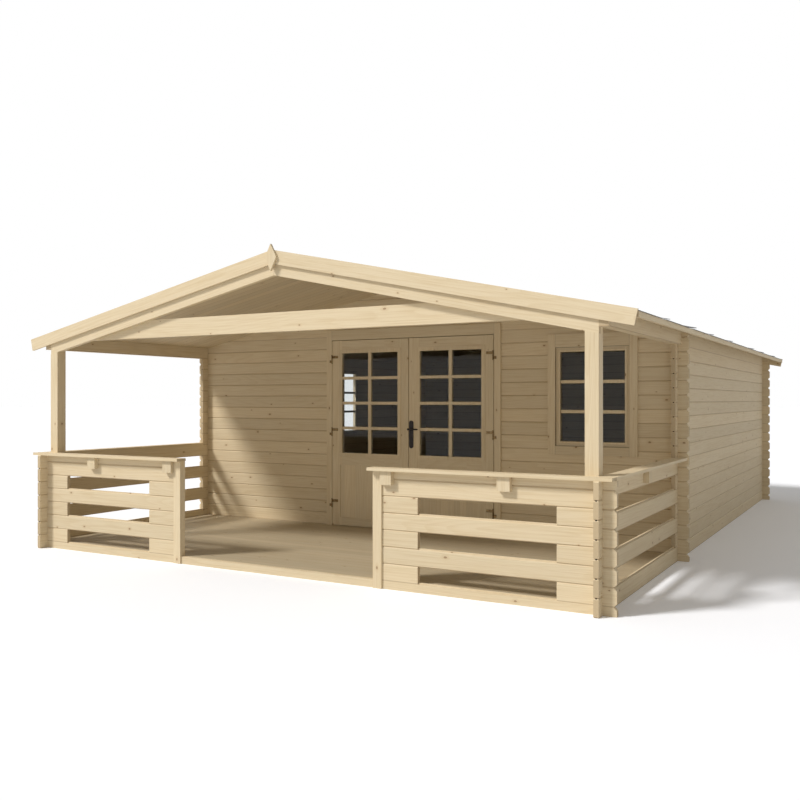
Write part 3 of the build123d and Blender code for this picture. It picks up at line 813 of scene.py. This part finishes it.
# Glazing bars and beads of the windows
for label, axis, normal in (("front", "x", "y"), ("side", "y", "x")):
    low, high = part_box("window_frame_" + label)
    index = AXES.index(axis)
    inset = WINDOW_CASING + SASH_EDGE
    across = (low[index] + inset, high[index] - inset)
    up = (low.z + WINDOW_SILL + SASH_EDGE, high.z - WINDOW_HEAD - SASH_EDGE)
    sash_face = low[AXES.index(normal)] + CASING_T
    plane = sheet_plane(normal, *(sash_face + depth for depth in WINDOW_BAR_DEPTHS))
    bars("window_bars_" + label, plane, across, up, WINDOW_PANES, SHED)
    plane = sheet_plane(normal, sash_face - SASH_BEAD_OUT, sash_face)
    bead("sash_bead_" + label, plane, across, up, SHED, SASH_BEAD_W)

# The door handle: a rounded plate, its keyhole and a lever that thins towards its end.
# The plate passes the plain one of the frame a little below and above
OUTWARD = (0, -1, 0)
PLATE_W = 0.046
PLATE_T = 5 * MILLIMETRE
PLATE_EDGE = 4 * MILLIMETRE
PLATE_PAST = (6 * MILLIMETRE, 9 * MILLIMETRE)
PLATE_BEVEL = 1.4 * MILLIMETRE
PLATE_END_FACETS = 12
handle_low, handle_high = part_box("door_handle")
face = leaf_low["right"].y
plate_left = leaf_low["right"].x + PLATE_EDGE
plate_mid = plate_left + PLATE_W / 2
plate_low, plate_high = handle_low.z - PLATE_PAST[0], handle_high.z + PLATE_PAST[1]
half = PLATE_W / 2
outline = []
for centre_z, start in ((plate_high - half, 0.0), (plate_low + half, math.pi)):
    for i in range(PLATE_END_FACETS + 1):
        turn = start + math.pi * i / PLATE_END_FACETS
        outline.append((plate_mid + half * math.cos(turn), centre_z + half * math.sin(turn)))
handle = Shape()
handle.prism(outline, face - PLATE_T, face, PLATE_BEVEL)

# Round parts as (radius, height, bevel, sides)
LEVER_Z = 1.056
LEVER_DEEP = 7 * MILLIMETRE
LEVER_TALL = 10 * MILLIMETRE
LEVER_SIDES = 16
ROSE = (13 * MILLIMETRE, 4 * MILLIMETRE, 1.2 * MILLIMETRE, 24)
NECK_R = 8 * MILLIMETRE
KEY_Z = LEVER_Z - 0.085
KEY_ROSE_T = 1.5 * MILLIMETRE
KEY_ROSE = (11 * MILLIMETRE, KEY_ROSE_T, 0.5 * MILLIMETRE, 24)
lever_y = handle_low.y + LEVER_DEEP
neck = (NECK_R, face - lever_y, 1 * MILLIMETRE, 20)
handle.disc((plate_mid, face - PLATE_T, LEVER_Z), OUTWARD, *ROSE)
handle.disc((plate_mid, face, LEVER_Z), OUTWARD, *neck)
handle.disc((plate_mid, face - PLATE_T, KEY_Z), OUTWARD, *KEY_ROSE)

# Stations of the lever: millimetres from the plate's edge, and shares of the depth and height
LEVER_STATIONS = (
    (0, 0.45, 0.5),
    (3, 0.8, 0.85),
    (9, 1.0, 1.0),
    (60, 0.9, 0.85),
    (104, 0.75, 0.7),
    (114, 0.5, 0.45),
)
turns = [2 * math.pi * (i + 0.5) / LEVER_SIDES for i in range(LEVER_SIDES)]
rings = []
for along, thick, tall in LEVER_STATIONS:
    x = plate_left + along * MILLIMETRE
    half_y, half_z = LEVER_DEEP * thick, LEVER_TALL * tall
    rings.append(
        [(x, lever_y + half_y * math.cos(a), LEVER_Z + half_z * math.sin(a)) for a in turns]
    )
handle.solid(rings)
lever = handle.finish("handle_plate_and_lever", IRON, LEAVES["right"])
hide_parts("door_handle")

# The keyhole is a thin dark plug: the shade inside the hole is painted
KEYHOLE_T = 0.3 * MILLIMETRE
KEYHOLE = (3.5 * MILLIMETRE, KEYHOLE_T, 0.1 * MILLIMETRE)
SLOT_HALF_W = 1.4 * MILLIMETRE
key_face = face - PLATE_T - KEY_ROSE_T
keyhole = Shape()
keyhole.disc((plate_mid, key_face, KEY_Z + 2 * MILLIMETRE), OUTWARD, *KEYHOLE)
keyhole.box(
    (plate_mid - SLOT_HALF_W, key_face - KEYHOLE_T, KEY_Z - 8 * MILLIMETRE),
    (plate_mid + SLOT_HALF_W, key_face, KEY_Z + 1 * MILLIMETRE),
)
keyhole.finish("keyhole", HOLE_SHADE, LEAVES["right"])

# Screws in the hinge leaves, above the knuckle and at two distances from the leaf's edge
HINGE_Z = (0.290, 1.016, 1.755)
STRAP_T = 4 * MILLIMETRE
SCREW = (4.2 * MILLIMETRE, 1.2 * MILLIMETRE, 0.6 * MILLIMETRE, 14)
SCREW_REACHES = (0.026, 0.056)
SCREW_RISE = 22.5 * MILLIMETRE
for hand, body in LEAVES.items():
    inward = 1 if hand == "left" else -1
    edge = leaf_low[hand].x if hand == "left" else leaf_high[hand].x
    screws = Shape()
    for z in HINGE_Z:
        for reach in SCREW_REACHES:
            centre = (edge + inward * reach, leaf_low[hand].y - STRAP_T, z + SCREW_RISE)
            screws.disc(centre, OUTWARD, *SCREW)
    screws.finish("hinge_screws_" + hand, BRASS, body)

# Small dark plugs, painted shade in the gaps between the ends of the side logs, deep in the notches
# of their bevels, at the seams between these courses
GAP_HALF_W = 5 * MILLIMETRE
GAP_HALF_H = 4 * MILLIMETRE
GAP_DEPTHS = (2.5 * MILLIMETRE, 8 * MILLIMETRE)
RAILING_GAPS = range(1, 7)
FRONT_GAPS = range(8, 15)
REAR_GAPS = range(1, 15)
gaps = Shape()
for label in LEAVES:
    wall_low, wall_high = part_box(label + "_wall")
    rail_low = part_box("side_railing_" + label)[0]
    middle = (wall_low.x + wall_high.x) / 2
    ends = (
        (rail_low.y, 1, RAILING_GAPS),
        (wall_low.y, 1, FRONT_GAPS),
        (wall_high.y, -1, REAR_GAPS),
    )
    for y, inward, courses in ends:
        near, far = sorted(y + inward * depth for depth in GAP_DEPTHS)
        for course in courses:
            z = course * COURSE
            low = (middle - GAP_HALF_W, near, z - GAP_HALF_H)
            gaps.box(low, (middle + GAP_HALF_W, far, z + GAP_HALF_H))
gaps.finish("log_end_gap_shade", HOLE_SHADE, SHED)

# Tongues on the logs that lie open to a slot or a gap of the railings
TONGUE_HALF_W = 7 * MILLIMETRE
TONGUE_H = 9 * MILLIMETRE
TONGUE_BEVEL = 1.5 * MILLIMETRE
SLOT_ENDS = (1.280, 2.288)
STUB = 0.080
OPEN_ROWS = (1, 3, 5)
tongues = Shape()
for label, side in (("left", -1), ("right", 1)):
    front_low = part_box("front_railing_" + label)[0]
    near, far = sorted(side * x for x in SLOT_ENDS)
    middle = front_low.y + LOG_T / 2
    for row in OPEN_ROWS:
        z = row * COURSE - HALF_COURSE
        high = (far, middle + TONGUE_HALF_W, z + TONGUE_H)
        tongues.box((near, middle - TONGUE_HALF_W, z), high, TONGUE_BEVEL)
    rail_low, rail_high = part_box("side_railing_" + label)
    near, far = front_low.y + LOG_T + STUB, rail_high.y
    middle = (rail_low.x + rail_high.x) / 2
    for row in OPEN_ROWS:
        z = row * COURSE
        high = (middle + TONGUE_HALF_W, far, z + TONGUE_H)
        tongues.box((middle - TONGUE_HALF_W, near, z), high, TONGUE_BEVEL)
tongues.finish("log_tongues", timber("tongue_wood", "x", "y"), SHED)


def strips(low, high, width):
    """Where each board starts between low and high, and the width they share, near to width."""
    count = round((high - low) / width)
    width = (high - low) / count
    return [low + width * i for i in range(count)], width


# Floor boards across the shed
FLOOR_BOARD_W = 0.096
FLOOR_JOINT = 4 * MILLIMETRE
FLOOR_BEVEL = 1.2 * MILLIMETRE
FLOOR_SHADE = 0.66
for label in ("floor_veranda", "floor_cabin"):
    low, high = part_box(label)
    starts, width = strips(low.y, high.y, FLOOR_BOARD_W)
    rows = [("y", width, low.y)]
    wood = timber(label + "_wood", "x", "y", rows, joint=FLOOR_JOINT, shade=FLOOR_SHADE)
    shape = Shape()
    for y in starts:
        shape.box((low.x, y, low.z), (high.x, y + width, high.z), FLOOR_BEVEL, segments=1)
    boards = shape.finish(label + "_boards", wood, SHED)
    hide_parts(label)

# Roof boards from the ridge to the eaves
ROOF_BOARD_W = 0.092
ROOF_JOINT = 5 * MILLIMETRE
ROOF_BEVEL = 2.2 * MILLIMETRE
ROOF_SHADE = 0.93
for hand, side in (("left", -1), ("right", 1)):
    low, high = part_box("roof_boards_" + hand)
    thick = BOARD_T / math.cos(PITCH)
    eave_x = max(abs(low.x), abs(high.x))
    ridge_z = high.z - thick
    eave_z = ridge_z - eave_x * SLOPE
    profile = [
        (0.0, ridge_z),
        (side * eave_x, eave_z),
        (side * eave_x, eave_z + thick),
        (0.0, ridge_z + thick),
    ]
    starts, width = strips(low.y, high.y, ROOF_BOARD_W)
    rows = [("y", width, low.y)]
    shape = Shape()
    for y in starts:
        shape.prism(profile, y, y + width, ROOF_BEVEL)
    wood = timber(
        "roof_wood_" + hand,
        "x",
        "y",
        rows,
        angle=side * PITCH,
        joint=ROOF_JOINT,
        shade=ROOF_SHADE,
    )
    boards = shape.finish("ceiling_boards_" + hand, wood, SHED)
    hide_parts("roof_boards_" + hand)

# Roofing felt in sheets over the ridge, each lapping the next and lifted at its rear edge.
# LIFT_SHARE is the middle and the swing of the lift, WAVES its waves a metre and a sheet
LAP = 0.10
LIFT = 0.020
LIFT_LENGTH = 0.28
LIFT_STATIONS = (1.0, 0.66, 0.33, 0.0)
LIFT_CURVE = 1.4
LIFT_SHARE = (0.75, 0.5)
WAVES = (1.7, 3.1)
SHEET_T = 4 * MILLIMETRE
ACROSS = 44
felt_low, felt_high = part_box("roof_felt_left")
felt_edge = -felt_low.x
ridge_top = felt_high.z
sheets = Shape()
starts = (felt_low.y,) + tuple(y - LAP for y in LAPS)
ends = LAPS + (felt_high.y,)
for number, (start, end) in enumerate(zip(starts, ends)):
    stations = [start] + [end - share * LIFT_LENGTH for share in LIFT_STATIONS]
    last = number == len(ends) - 1
    rings = []
    for i in range(ACROSS + 1):
        x = felt_edge * (2 * i / ACROSS - 1)
        top = ridge_top - abs(x) * SLOPE
        wave = noise.noise(Vector((x * WAVES[0], number * WAVES[1], 0)))
        tall = LIFT * (LIFT_SHARE[0] + LIFT_SHARE[1] * wave)
        upper = []
        for y in stations:
            rise = max(0.0, (y - end + LIFT_LENGTH) / LIFT_LENGTH)
            upper.append((x, y, top if last else top + tall * rise**LIFT_CURVE))
        lower = [(px, py, pz - SHEET_T) for px, py, pz in reversed(upper)]
        rings.append(upper + lower)
    sheets.solid(rings)
roofing = sheets.finish("roofing_sheets", FELT, SHED)
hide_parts("roof_felt_left", "roof_felt_right")

# Light: a sun from the front left and a pale sky
SUN_TURN = math.radians(42.0)
SUN_HEIGHT = math.radians(42.0)
SUN_WIDTH = math.radians(11.0)
SUN_ENERGY = 2.62
SUN_COLOUR = (1.0, 0.970, 0.925)
sun_from = Vector(
    (
        -math.sin(SUN_TURN) * math.cos(SUN_HEIGHT),
        -math.cos(SUN_TURN) * math.cos(SUN_HEIGHT),
        math.sin(SUN_HEIGHT),
    )
)
sun_data = bpy.data.lights.new("sun", "SUN")
sun_data.energy = SUN_ENERGY
sun_data.angle = SUN_WIDTH
sun_data.color = SUN_COLOUR
sun = linked("sun", sun_data)
sun.rotation_euler = sun_from.to_track_quat("Z", "Y").to_euler()


def seen_directly(graph):
    """1 for what the camera sees, also in a mirror or through glass, and 0 for other light."""
    path = graph.node("LightPath", {}).outputs
    seen = graph.math("MAXIMUM", path["Is Camera Ray"], path["Is Glossy Ray"])
    return graph.math("MAXIMUM", seen, path["Is Transmission Ray"])


# The sky is a little brighter over the front left than over the rear right, and is seen white
SKY_COLOUR = (1.0, 0.965, 0.90, 1)
SKY_LEVEL = 0.41
SKY_LEAN = (-0.16, -0.13, 0.0)
WHITE = (1, 1, 1, 1)
sky = Graph(bpy.data.worlds.new("sky"))
bpy.context.scene.world = sky.owner
way = sky.place()["Generated"]
lean = sky.node("VectorMath", {0: way, 1: SKY_LEAN}, operation="DOT_PRODUCT").outputs["Value"]
level = sky.math("MULTIPLY_ADD", lean, SKY_LEVEL, SKY_LEVEL)
lit = sky.node("Background", {"Color": SKY_COLOUR, "Strength": level})
white = sky.node("Background", {"Color": WHITE, "Strength": 1.0})
blend = sky.node("MixShader", {0: seen_directly(sky), 1: lit.outputs[0], 2: white.outputs[0]})
sky.node("OutputWorld", {0: blend.outputs[0]})

# Ground: white where the camera sees it lit, and it keeps the object's shadow
FLOOR_HALF = 150.0
FLOOR_ALBEDO = (0.76, 0.76, 0.76, 1)
SEEN_COLOUR = (1.055, 1.09, 1.17, 1)
CORNERS = ((-1, -1), (1, -1), (1, 1), (-1, 1))
floor_data = bpy.data.meshes.new("floor")
floor_data.from_pydata(
    [(x * FLOOR_HALF, y * FLOOR_HALF, cad_low.z) for x, y in CORNERS], [], [(0, 1, 2, 3)]
)
floor = linked("floor", floor_data)
paint = Graph(bpy.data.materials.new("floor_paint"))
dull = paint.node("BsdfDiffuse", {"Color": FLOOR_ALBEDO})
bright = paint.node("BsdfDiffuse", {"Color": SEEN_COLOUR})
blend = paint.node("MixShader", {0: seen_directly(paint), 1: dull.outputs[0], 2: bright.outputs[0]})
paint.node("OutputMaterial", {0: blend.outputs[0]})
floor_data.materials.append(paint.owner)
floor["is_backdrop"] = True

# Camera at the photograph's viewing angle
SENSOR = 36.0
LENS = 39.43
FAR_CLIP = 500.0
CAMERA_PLACE = (4.182, -9.142, 1.340)
CAMERA_TURN = math.radians(29.64)
camera_data = bpy.data.cameras.new("camera")
camera_data.sensor_width = SENSOR
camera_data.lens = LENS
camera_data.clip_end = FAR_CLIP
camera = linked("camera", camera_data)
camera.location = CAMERA_PLACE
camera.rotation_euler = (math.radians(90.0), 0.0, CAMERA_TURN)
bpy.context.scene.camera = camera
bpy.context.scene.view_settings.view_transform = "Standard"

low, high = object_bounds()
